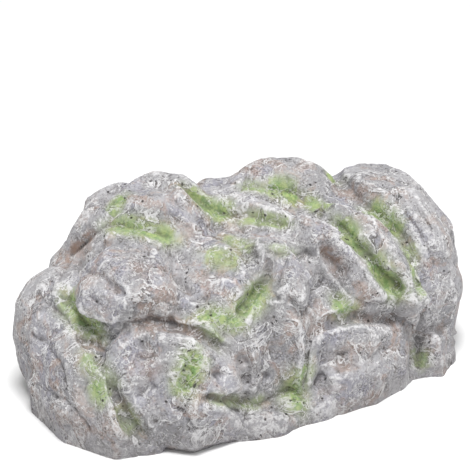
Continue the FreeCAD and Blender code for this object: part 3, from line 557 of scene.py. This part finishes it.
# ---------------------------------------------------------------- rock: paint masks
# Moss green wash: pixels along each streak, half width in millimetres and strength.
MOSS = {
    "face_upper": ([(104, 225), (122, 224), (147, 228), (164, 233), (180, 240)], 2.5, 1.0),
    "crest_groove": ([(185, 190), (199, 201), (217, 210), (234, 216)], 2.8, 1.0),
    "crest_groove_end": ([(234, 216), (257, 217), (280, 223), (293, 226)], 2.1, 0.75),
    "upper_groove": ([(240, 186), (256, 187), (272, 188)], 2.0, 0.7),
    "upper_groove_mid": ([(266, 187), (284, 191), (300, 195)], 2.9, 1.0),
    "upper_groove_end": ([(300, 196), (314, 203), (330, 211)], 2.2, 0.7),
    "lobe_top": ([(331, 171), (340, 181)], 2.0, 0.9),
    "lobe_valley": ([(366, 206), (380, 216), (392, 227), (403, 238)], 2.9, 1.0),
    "lobe_low": ([(403, 238), (410, 250), (412, 264), (418, 280), (424, 306)], 2.0, 0.7),
    "slab_gap": ([(336, 219), (345, 232), (356, 246), (366, 258)], 2.5, 1.0),
    "slab_gap_low": ([(366, 258), (380, 273), (394, 285), (408, 298)], 3.0, 1.0),
    "left_valley": ([(124, 196), (116, 206), (106, 219)], 2.2, 0.9),
    "face_lower": ([(64, 291), (72, 308), (88, 322), (104, 338)], 2.8, 1.0),
    "centre_wash": ([(206, 252), (226, 256), (246, 262)], 3.2, 0.55),
    "centre_left": ([(262, 282), (256, 296), (246, 308), (232, 318)], 2.8, 1.0),
    "wall_top": ([(192, 318), (212, 318), (236, 322), (252, 328)], 2.5, 0.8),
    "above_round": ([(330, 298), (342, 307), (360, 314)], 2.4, 0.8),
    "middle_dip": ([(197, 348), (192, 362), (186, 382), (188, 395)], 3.0, 1.0),
    "left_boulder": ([(84, 352), (96, 366), (106, 384), (112, 400)], 3.0, 0.6),
    "left_boulder_low": ([(120, 404), (130, 422), (142, 434)], 2.2, 0.7),
    "centre_right_low": ([(309, 366), (300, 382), (292, 398), (300, 416)], 3.0, 0.95),
    "low_ledge": ([(206, 399), (234, 401), (254, 407), (272, 398)], 1.6, 0.6),
    "foot": ([(419, 346), (420, 358), (420, 371)], 2.0, 0.8),
    "left_boulder_mid": ([(92, 378), (100, 392), (110, 400)], 2.6, 0.8),
    "wall_face": ([(198, 330), (214, 336), (228, 346)], 2.2, 0.5),
    "centre_crown": ([(268, 246), (284, 250), (298, 252)], 1.8, 0.5),
    "crest_wash": ([(222, 236), (240, 244), (252, 256)], 2.6, 0.5),
}
RUST = {
    "left_valley": ([(96, 233), (84, 244), (68, 256), (60, 270)], 1.8, 0.8),
    "upper_groove": ([(282, 198), (296, 201), (308, 206)], 2.2, 0.8),
    "middle_top": ([(128, 327), (150, 322), (176, 323), (196, 332)], 1.8, 1.0),
    "slab_overhang": ([(322, 250), (334, 262), (342, 280)], 1.8, 0.9),
    "face_middle": ([(124, 262), (142, 268), (158, 276)], 3.0, 0.45),
    "round_middle": ([(338, 348), (346, 362), (342, 378)], 3.0, 0.5),
    "middle_left": ([(140, 350), (150, 366), (146, 384)], 3.0, 0.5),
    "round_bottom": ([(330, 406), (352, 400), (380, 390)], 2.0, 0.6),
    "left_low": ([(70, 410), (86, 426), (100, 436)], 2.4, 0.5),
}
CREASE_WIDTH = 0.55 * MM     # of the dark line along the bottom of a crevice, dark wash and painted shade
HIDDEN_MOSS_SEED = 23
HIDDEN_MOSS_COUNT = 16
FIRST_STREAK = 40            # keeps the streaks' wander apart from the crevices'


def streaks(points, tree, table):
    """Strength of a set of painted streaks at each vertex."""
    strength = np.zeros(len(points))
    for seed, (pixels, half_width, amount) in enumerate(table.values()):
        path = walk(tree, lift_to_surface(tree, pixels), STREAK_WANDER, FIRST_STREAK + seed)
        index, distance, _, share = near_path(points, path, 3.5 * half_width * MM)
        ends = smoothstep(0, 0.15, share) * smoothstep(0, 0.15, 1 - share)
        fade = amount * np.exp(-(distance / (half_width * MM)) ** 1.5) * (0.35 + 0.65 * ends)
        strength[index] = np.maximum(strength[index], fade)
    return strength


def hidden_moss(points, normals, hollow):
    """Moss in the crevices of the sides that the photograph doesn't show."""
    draw = random.Random(HIDDEN_MOSS_SEED)
    strength = np.zeros(len(points))
    toward_camera = np.array(camera.location.normalized())
    away, deep, high = normals @ toward_camera < -0.05, hollow > 0.35, points[:, 2] > 4 * MM
    hidden = np.nonzero(away & deep & high)[0]
    for _ in range(HIDDEN_MOSS_COUNT):
        spot = np.array(drawn_spot(draw))
        centre = points[hidden[np.argmin(np.linalg.norm(points[hidden] - spot, axis=1))]]
        reach = draw.uniform(4.0, 8.0) * MM
        distance = np.linalg.norm(points - centre, axis=1)
        patch = np.exp(-(distance / reach) ** 2) * smoothstep(0.05, 0.5, hollow)
        strength = np.maximum(strength, patch)
    return strength * (normals @ toward_camera < 0.1)


def ranked(values, low_share, high_share):
    """Smooth step between the values that the given shares of the vertices stay below."""
    return smoothstep(np.quantile(values, low_share), np.quantile(values, high_share), values)


def crease_lines(points, paths):
    """Strength of the dark line, dark wash and painted shade, that runs along the bottom of each crevice.
    """
    strength = np.zeros(len(points))
    for path, depth in paths:
        index, distance, _, share = near_path(points, path, 4 * CREASE_WIDTH)
        ends = smoothstep(0, 0.12, share) * smoothstep(0, 0.12, 1 - share)
        line = ends * min(1.0, depth / 1.2) * np.exp(-(distance / CREASE_WIDTH) ** 1.4)
        strength[index] = np.maximum(strength[index], line)
    return strength


def paint_masks(form, tree, paths):
    """Ridge, hollow, crease, moss and rust strength of each vertex of the sculpted form."""
    points, edges, normals = points_of(form.data), edges_of(form.data), normals_of(form.data)
    fine = np.einsum("ij,ij->i", points - relax(points, edges, 5), normals)
    broad = np.einsum("ij,ij->i", points - relax(points, edges, 45), normals)
    # hollow: how deep a vertex lies in a hollow; the paint darkens there as dark wash and painted shade
    hollow = ranked(-fine, 0.74, 0.985) * 0.6 + ranked(-broad, 0.72, 0.98) * 0.7
    ridge = ranked(fine, 0.70, 0.97) * 0.8 + ranked(broad, 0.70, 0.98) * 0.4
    moss = np.maximum(streaks(points, tree, MOSS), hidden_moss(points, normals, hollow))
    rust = streaks(points, tree, RUST)
    return {"ridge": np.clip(ridge, 0, 1), "hollow": np.clip(hollow, 0, 1), "moss": moss,
            "rust": rust, "crease": crease_lines(points, paths)}


def store_masks(thing, tree, masks):
    """Give the cut mesh the masks of the sculpted form's nearest vertices."""
    nearest = [tree.find(v.co)[1] for v in thing.data.vertices]
    for name, values in masks.items():
        layer = thing.data.attributes.new(name, "FLOAT", "POINT")
        layer.data.foreach_set("value", values[nearest].astype(np.float32))


# ---------------------------------------------------------------- materials
class Nodes:
    """Short way to write the node tree of a new material, or of the world."""

    def __init__(self, name="", tree=None):
        self.tree = tree
        if tree is None:
            self.material = bpy.data.materials.new(name)
            self.material.use_nodes = True
            self.tree = self.material.node_tree
            self.shader = self.tree.nodes["Principled BSDF"]
            self.place = self.add("ShaderNodeTexCoord").outputs["Object"]

    def add(self, kind, **settings):
        node = self.tree.nodes.new(kind)
        for name, value in settings.items():
            setattr(node, name, value)
        return node

    def plug(self, source, target):
        if isinstance(source, (int, float)):
            target.default_value = source
        elif isinstance(source, tuple):
            target.default_value = (*source, 1.0) if len(source) == 3 else source
        else:
            self.tree.links.new(source, target)

    def noise(self, size, detail=4.0, rough=0.55, warp=0.0):
        """Noise whose features are about size metres across."""
        node = self.add("ShaderNodeTexNoise")
        node.inputs["Scale"].default_value = 1.0 / size
        node.inputs["Detail"].default_value = detail
        node.inputs["Roughness"].default_value = rough
        node.inputs["Distortion"].default_value = warp
        self.plug(self.place, node.inputs["Vector"])
        return node.outputs["Fac"]

    def cells(self, size):
        """Distance to the nearest of scattered points about size metres apart."""
        node = self.add("ShaderNodeTexVoronoi")
        node.inputs["Scale"].default_value = 1.0 / size
        self.plug(self.place, node.inputs["Vector"])
        return node.outputs["Distance"]

    def attribute(self, name):
        return self.add("ShaderNodeAttribute", attribute_name=name).outputs["Fac"]

    def math(self, operation, first, second=0.0):
        node = self.add("ShaderNodeMath", operation=operation)
        self.plug(first, node.inputs[0])
        self.plug(second, node.inputs[1])
        return node.outputs[0]

    def span(self, value, low, high, to_low=0.0, to_high=1.0):
        """Smooth step of a value from low to high."""
        node = self.add("ShaderNodeMapRange", interpolation_type="SMOOTHSTEP")
        ends = {"From Min": low, "From Max": high, "To Min": to_low, "To Max": to_high}
        for name, number in ends.items():
            node.inputs[name].default_value = number
        self.plug(value, node.inputs["Value"])
        return node.outputs["Result"]

    def mix(self, amount, under, over):
        node = self.add("ShaderNodeMix", data_type="RGBA")
        self.plug(amount, node.inputs["Factor"])
        self.plug(under, node.inputs["A"])
        self.plug(over, node.inputs["B"])
        return node.outputs["Result"]

    def bump(self, height, depth, strength):
        node = self.add("ShaderNodeBump")
        node.inputs["Strength"].default_value = strength
        node.inputs["Distance"].default_value = depth
        self.plug(height, node.inputs["Height"])
        return node.outputs["Normal"]

    def seen(self):
        """1 for what the camera sees, straight or in a shiny or clear surface."""
        path = self.add("ShaderNodeLightPath")
        shiny = self.math("MAXIMUM", path.outputs["Is Glossy Ray"], path.outputs["Is Transmission Ray"])
        return self.math("MAXIMUM", path.outputs["Is Camera Ray"], shiny)

    def finish(self, colour, roughness, normal=None, metallic=0.0, specular=0.5):
        self.plug(colour, self.shader.inputs["Base Color"])
        self.plug(roughness, self.shader.inputs["Roughness"])
        self.shader.inputs["Metallic"].default_value = metallic
        self.shader.inputs["Specular IOR Level"].default_value = specular
        if normal is not None:
            self.plug(normal, self.shader.inputs["Normal"])
        return self.material


def linear(red, green, blue):
    """Colour as written on a screen, 0 to 255, as the shader wants it."""
    parts = [value / 255 for value in (red, green, blue)]
    return tuple(p / 12.92 if p <= 0.04045 else ((p + 0.055) / 1.055) ** 2.4 for p in parts)


GREY = linear(154, 154, 158)
PALE_GREY = linear(174, 173, 177)
LAVENDER = linear(156, 156, 169)
DARK_GREY = linear(112, 108, 107)
LIGHT_GREY = linear(204, 202, 203)
WARM = linear(178, 154, 141)
WHITE = linear(226, 225, 226)
# brown-black of the dark wash and dirt, also used for painted shade in the hollows and at the scales' feet
DIRT_AND_SHADE = linear(74, 66, 60)
RUST_BROWN = linear(140, 110, 90)
MOSS_DARK = linear(108, 148, 78)
MOSS_LIGHT = linear(170, 186, 124)
# near black of the pinholes, also used for the painted shade along the crevice bottoms
PIT_AND_SHADE = linear(44, 38, 36)


def off_middle(n, value):
    """How far a noise lies from its middle: near 0 along thin winding lines."""
    return n.math("ABSOLUTE", n.math("SUBTRACT", value, 0.5))


def layered_grey(n):
    """Base coat: soft clouds of grey, lavender and warm brown, then fine mottling."""
    colour = n.mix(n.span(n.noise(0.013, 3.0, 0.5), 0.40, 0.60), GREY, PALE_GREY)
    lavender = n.span(n.noise(0.010, 3.0, 0.5, 0.3), 0.50, 0.60, 0.0, 0.8)
    colour = n.mix(lavender, colour, LAVENDER)
    warm = n.span(n.noise(0.007, 5.0, 0.65, 0.7), 0.50, 0.62, 0.0, 0.7)
    colour = n.mix(warm, colour, WARM)
    dark = n.span(n.noise(0.0030, 8.0, 0.80, 0.4), 0.34, 0.49, 0.75, 0.0)
    colour = n.mix(dark, colour, DARK_GREY)
    light = n.span(n.noise(0.0017, 8.0, 0.80, 0.3), 0.54, 0.68, 0.0, 0.45)
    colour = n.mix(light, colour, LIGHT_GREY)
    speck = n.noise(0.0011, 4.0, 0.75)
    colour = n.mix(n.span(speck, 0.36, 0.47, 0.50, 0.0), colour, DARK_GREY)
    colour = n.mix(n.span(speck, 0.55, 0.66, 0.0, 0.40), colour, LIGHT_GREY)
    sandy = n.span(n.noise(0.0050, 4.0, 0.6), 0.44, 0.56, 0.35, 1.0)
    sand = n.noise(0.00050, 1.0, 0.6)
    dark = n.math("MULTIPLY", n.span(sand, 0.32, 0.46, 0.85, 0.0), sandy)
    light = n.math("MULTIPLY", n.span(sand, 0.54, 0.68, 0.0, 0.85), sandy)
    return n.mix(light, n.mix(dark, colour, DARK_GREY), LIGHT_GREY)


def rust_wash(n, colour, rust):
    """Thin brown paint in some of the hollows."""
    broken = n.span(n.noise(0.002, 5.0, 0.7), 0.35, 0.58)
    rusty = n.math("MULTIPLY", n.span(rust, 0.05, 0.7), broken)
    return n.mix(n.math("MULTIPLY", rusty, 0.7), colour, RUST_BROWN)


def dark_wash_and_shade(n, colour, hollow, crease):
    """Thin brown-black paint that has run into the hollows, creases and hair cracks; in the hollows and
    along the crevice bottoms it is also painted shade.
    """
    broken = n.span(n.noise(0.0016, 5.0, 0.75), 0.34, 0.60, 0.30, 1.0)
    # dark wash and painted shade: the hollows darkened towards brown-black
    wash = n.math("MULTIPLY", n.span(hollow, 0.12, 1.0), broken)
    colour = n.mix(n.math("MULTIPLY", wash, 0.40), colour, DIRT_AND_SHADE)
    # dark wash and painted shade: a near-black line along the bottom of each crevice
    run = n.span(n.noise(0.0030, 5.0, 0.75), 0.36, 0.54, 0.40, 1.0)
    deep = n.math("MULTIPLY", n.span(crease, 0.25, 0.70), run)
    colour = n.mix(n.math("MULTIPLY", deep, 0.80), colour, PIT_AND_SHADE)
    line = n.span(off_middle(n, n.noise(0.0055, 6.0, 0.7, 1.2)), 0.0, 0.016, 1.0, 0.0)
    patch = n.span(n.noise(0.005, 3.0, 0.6), 0.48, 0.56)
    return n.mix(n.math("MULTIPLY", n.math("MULTIPLY", line, patch), 0.65), colour, DIRT_AND_SHADE)


def moss_wash(n, colour, moss):
    """Sprayed green, soft at its edges and broken up by the grain."""
    ragged = n.math("SUBTRACT", n.noise(0.0028, 5.0, 0.65), 0.5)
    field = n.math("ADD", moss, n.math("MULTIPLY", ragged, 0.9))
    shade = n.mix(n.span(n.noise(0.0014, 5.0, 0.75), 0.40, 0.60), MOSS_DARK, MOSS_LIGHT)
    mist = n.span(moss, 0.01, 0.45, 0.0, 0.45)
    colour = n.mix(mist, colour, MOSS_LIGHT)
    return n.mix(n.span(field, 0.18, 0.95, 0.0, 0.85), colour, shade)


def band(n, value, low, high, soft):
    """1 where the value lies between low and high."""
    rise, fall = n.span(value, low - soft, low), n.span(value, high, high + soft, 1.0, 0.0)
    return n.math("MULTIPLY", rise, fall)


def scales(n, size, strength):
    """Thin overlapping scales: where they lie, their pale upper rim, which is dry-brush white and partly
    painted highlight, and the dark line at its foot, which is painted shadow.
    """
    field = n.noise(size, 7.0, 0.62, 0.6)
    patch = n.span(n.noise(size * 0.9, 4.0, 0.6), 0.42, 0.53, 0.0, strength)
    raised = n.span(field, 0.494, 0.502)
    rim = n.math("MULTIPLY", band(n, field, 0.503, 0.517, 0.009), patch)
    foot = n.math("MULTIPLY", band(n, field, 0.484, 0.492, 0.008), patch)
    return raised, rim, foot


def crest_white(n, ridge):
    """Where the dry brush has caught the crests of the relief, broken up by the sandy grain."""
    broken = n.span(n.noise(0.0014, 5.0, 0.75, 0.4), 0.42, 0.56)
    grains = n.span(n.noise(0.00055, 2.0, 0.6), 0.32, 0.52, 0.45, 1.0)
    return n.math("MULTIPLY", n.math("MULTIPLY", n.span(ridge, 0.25, 0.85), broken), grains)


def pinholes(n):
    """Scattered black pits of uneven size, and finer specks in patches."""
    spread = n.span(n.noise(0.0055), 0.45, 0.53)
    edge = n.math("MULTIPLY", n.noise(0.0007, 3.0, 0.7), 0.12)
    hole = n.span(n.math("ADD", n.cells(0.0031), edge), 0.13, 0.19, 1.0, 0.0)
    fine = n.span(n.noise(0.0012, 2.0, 0.5), 0.66, 0.70)
    speck = n.math("MULTIPLY", fine, n.span(n.noise(0.008), 0.5, 0.6))
    return n.math("MAXIMUM", n.math("MULTIPLY", hole, spread), speck)


LOW_SHADE_HEIGHT = 0.013         # how far up from the ground the painted shade reaches; the rock is a little darker lower down
SKIN_RELIEF = 0.00040        # depth of the finest relief, which is bump only
RESIN_RELIEF = 0.00012
SCUFF_RELIEF = 0.00003
RESIN_SPECULAR = 0.3


def painted_rock():
    n = Nodes("painted_resin")
    ridge, moss, crease = n.attribute("ridge"), n.attribute("moss"), n.attribute("crease")
    large, large_rim, large_foot_shadow = scales(n, 0.0085, 1.0)
    small, small_rim, small_foot_shadow = scales(n, 0.0040, 0.9)
    colour = layered_grey(n)
    colour = n.mix(n.math("MULTIPLY", large, 0.22), colour, LIGHT_GREY)
    colour = n.mix(n.math("MULTIPLY", small, 0.16), colour, DARK_GREY)
    colour = moss_wash(n, rust_wash(n, colour, n.attribute("rust")), moss)
    colour = dark_wash_and_shade(n, colour, n.attribute("hollow"), crease)
    # painted shadow: a dark line at the foot of each scale's raised edge
    foot = n.math("MAXIMUM", large_foot_shadow, small_foot_shadow)
    colour = n.mix(n.math("MULTIPLY", foot, 0.55), colour, DIRT_AND_SHADE)
    # dry-brush white on the crests; at the scales' rims it is partly painted highlight
    white = n.math("MAXIMUM", n.math("MAXIMUM", large_rim, small_rim), crest_white(n, ridge))
    white = n.math("MULTIPLY", white, n.span(crease, 0.15, 0.5, 1.0, 0.0))
    colour = n.mix(n.math("MULTIPLY", white, n.span(moss, 0.2, 0.8, 0.86, 0.45)), colour, WHITE)
    # painted shade: the rock a little darker towards the ground
    up = n.add("ShaderNodeSeparateXYZ")
    n.plug(n.place, up.inputs[0])
    colour = n.mix(n.span(up.outputs["Z"], 0.0, LOW_SHADE_HEIGHT, 0.32, 0.0), colour, DARK_GREY)
    pit = pinholes(n)
    colour = n.mix(n.math("MULTIPLY", pit, 0.85), colour, PIT_AND_SHADE)
    sand, waves = n.noise(0.0010, 6.0, 0.75), n.noise(0.0030, 5.0, 0.65)
    height = n.math("ADD", sand, n.math("MULTIPLY", waves, 1.3))
    height = n.math("ADD", height, n.math("MULTIPLY", n.math("ADD", large, small), 0.25))
    height = n.math("SUBTRACT", height, n.math("MULTIPLY", pit, 1.2))
    roughness = n.span(ridge, 0.0, 1.0, 0.88, 0.76)
    return n.finish(colour, roughness, n.bump(height, SKIN_RELIEF, 0.8), specular=RESIN_SPECULAR)


def plain_resin(name, colour, darker):
    """Unpainted grey resin: faint clouds, fine casting grain and a few pinholes."""
    n = Nodes(name)
    cloud = n.mix(n.span(n.noise(0.012, 4.0, 0.6), 0.35, 0.65), colour, darker)
    hole, spread = n.span(n.cells(0.0035), 0.05, 0.09, 1.0, 0.0), n.span(n.noise(0.01, 2.0), 0.55, 0.6)
    pin = n.math("MULTIPLY", hole, spread)
    shade = n.mix(n.math("MULTIPLY", pin, 0.6), cloud, DIRT_AND_SHADE)
    height = n.math("SUBTRACT", n.noise(0.0006, 5.0, 0.7), pin)
    roughness = n.span(n.noise(0.004, 3.0), 0.3, 0.7, 0.62, 0.78)
    return n.finish(shade, roughness, n.bump(height, RESIN_RELIEF, 0.5), specular=RESIN_SPECULAR)


def plated_metal():
    """Bright nickel with fine scuffs."""
    n = Nodes("nickel")
    scuff = n.noise(0.0008, 5.0, 0.7, 2.0)
    cloud = n.span(n.noise(0.006, 4.0, 0.6), 0.4, 0.65)
    colour = n.mix(cloud, linear(226, 225, 222), linear(204, 202, 198))
    roughness = n.span(scuff, 0.3, 0.75, 0.20, 0.38)
    return n.finish(colour, roughness, n.bump(scuff, SCUFF_RELIEF, 0.4), metallic=1.0)


# ---------------------------------------------------------------- rock: put together
def cad_hollow(name, low, high):
    """What the CAD rock leaves empty inside a box: the compartment, or the channel."""
    hollow = box_object(name, low, high)
    solid = welded_copy(frame["nodes"]["rock_body"], name + "_solid")
    return subtract(hollow, solid)


def drop_crumbs(thing):
    """Keep only the biggest connected part of the mesh."""
    work = bmesh.new()
    work.from_mesh(thing.data)
    seen = set()
    groups = []
    for start in work.verts:
        if start in seen:
            continue
        seen.add(start)
        group, waiting = [], [start]
        while waiting:
            vertex = waiting.pop()
            group.append(vertex)
            for edge in vertex.link_edges:
                other = edge.other_vert(vertex)
                if other not in seen:
                    seen.add(other)
                    waiting.append(other)
        groups.append(group)
    biggest = max(groups, key=len)
    for group in groups:
        if group is not biggest:
            bmesh.ops.delete(work, geom=group, context="VERTS")
    work.to_mesh(thing.data)
    work.free()


SKIN_LIMIT = 0.9 * MM        # how far the skin may stand outside the CAD model's box
THIN_WALL = 8.0 * MM         # how far in from the channel's open end its walls are thin
CUT_PAST = 0.75 * VOXEL      # a face farther than this from the sculpted form was left by a cut
UNDERSIDE_HEIGHT = 0.05 * MM


def carving_share(points):
    """0 at the thin walls of the channel's open end, which stay uncarved, and 1 away from them."""
    lid_low, lid_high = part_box("sliding_lid")
    side = 2 * MM
    low = np.array([lid_high.x - THIN_WALL, lid_low.y - side, -FOOT])
    high = np.array([CAD_BOX[1][0], lid_high.y + side, lid_high.z])
    outside = np.maximum(np.maximum(low - points, points - high), 0)
    return smoothstep(0.5 * MM, 5 * MM, np.linalg.norm(outside, axis=1))


def make_rock(painted, plain):
    """Sculpted skin in place of the CAD rock, with the CAD rock's own hollows cut in."""
    form = base_form()
    soften(form)
    points, normals = points_of(form.data), normals_of(form.data)
    push = np.zeros(len(points))
    tree, paths = carve_crevices(form, push, points)
    paths += random_cracks(push, points, tree)
    push = relax(push, edges_of(form.data), 1)
    push += grain(points)
    points = points + normals * (push * carving_share(points))[:, None]
    low, high = np.array(CAD_BOX[0]) - SKIN_LIMIT, np.array(CAD_BOX[1]) + SKIN_LIMIT
    low[2] = -FOOT
    set_points(form.data, np.clip(points, low, high))
    masks = paint_masks(form, tree, paths)
    sculpted = points_of(form.data).copy()
    below = box_object("below", (-0.1, -0.1, -0.05), (0.1, 0.1, 0.0))
    subtract(form, below)
    chamber, channel = hollow_boxes()
    for name, (corner_low, corner_high) in (("chamber", chamber), ("channel", channel)):
        subtract(form, cad_hollow(name, corner_low, corner_high))
    drop_crumbs(form)
    sculpt_tree = point_tree(sculpted)
    store_masks(form, sculpt_tree, masks)
    form.data.materials.clear()
    form.data.materials.append(painted)
    form.data.materials.append(plain)
    for face in form.data.polygons:
        far = max(sculpt_tree.find(form.data.vertices[v].co)[2] for v in face.vertices)
        flat = face.center.z < UNDERSIDE_HEIGHT and face.normal.z < -0.9
        face.material_index = 1 if flat or far > CUT_PAST else 0
        face.use_smooth = face.material_index == 0
    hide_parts("rock_body")
    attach(form, "rock")


def coat(node, material):
    thing = frame["nodes"][node]
    thing.data.materials.clear()
    thing.data.materials.append(material)


# ---------------------------------------------------------------- stage
def make_stage():
    """Pale floor that turns to plain white away from the rock."""
    floor = link("floor", bpy.data.meshes.new("floor"))
    work = bmesh.new()
    bmesh.ops.create_grid(work, size=4.0)
    work.to_mesh(floor.data)
    work.free()
    n = Nodes("pale_floor")
    n.finish((0.9, 0.9, 0.9), 0.9, specular=0.1)
    away = n.add("ShaderNodeVectorMath", operation="LENGTH")
    n.plug(n.place, away.inputs[0])
    white = n.add("ShaderNodeEmission")
    blend = n.add("ShaderNodeMixShader")
    far = n.span(away.outputs["Value"], 0.12, 0.45)
    n.plug(n.math("MULTIPLY", far, n.seen()), blend.inputs["Fac"])
    n.plug(n.shader.outputs["BSDF"], blend.inputs[1])
    n.plug(white.outputs["Emission"], blend.inputs[2])
    n.plug(blend.outputs["Shader"], n.tree.nodes["Material Output"].inputs["Surface"])
    floor.data.materials.append(n.material)


def area_light(name, place, energy, size, aim=(0, 0, 0.02)):
    data = bpy.data.lights.new(name, "AREA")
    data.energy = energy
    data.size = size
    lamp = link(name, data)
    lamp.location = place
    lamp.rotation_mode = "QUATERNION"
    lamp.rotation_quaternion = (Vector(aim) - Vector(place)).to_track_quat("-Z", "Y")


WORLD_STRENGTH = 0.43        # what the object is lit by; the background itself is seen as white


def make_light():
    area_light("key_light", (-0.16, -0.27, 1.16), 13.6, 0.40)
    area_light("fill_light", (0.95, -0.55, 0.55), 3.2, 0.8)
    world = bpy.data.worlds.new("studio")
    bpy.context.scene.world = world
    world.use_nodes = True
    background = world.node_tree.nodes["Background"]
    background.inputs["Color"].default_value = (1, 1, 1, 1)
    n = Nodes(tree=world.node_tree)
    n.plug(n.span(n.seen(), 0.0, 1.0, WORLD_STRENGTH, 1.0), background.inputs["Strength"])


# ---------------------------------------------------------------- main
make_rock(painted_rock(), plain_resin("underside_resin", linear(150, 151, 155), linear(140, 141, 145)))
coat("sliding_lid", plain_resin("lid_resin", linear(168, 168, 172), linear(158, 158, 163)))
nickel = plated_metal()
coat("key_bow", nickel)
coat("key_shank", nickel)
make_stage()
make_light()
bpy.context.scene.view_settings.view_transform = "Standard"
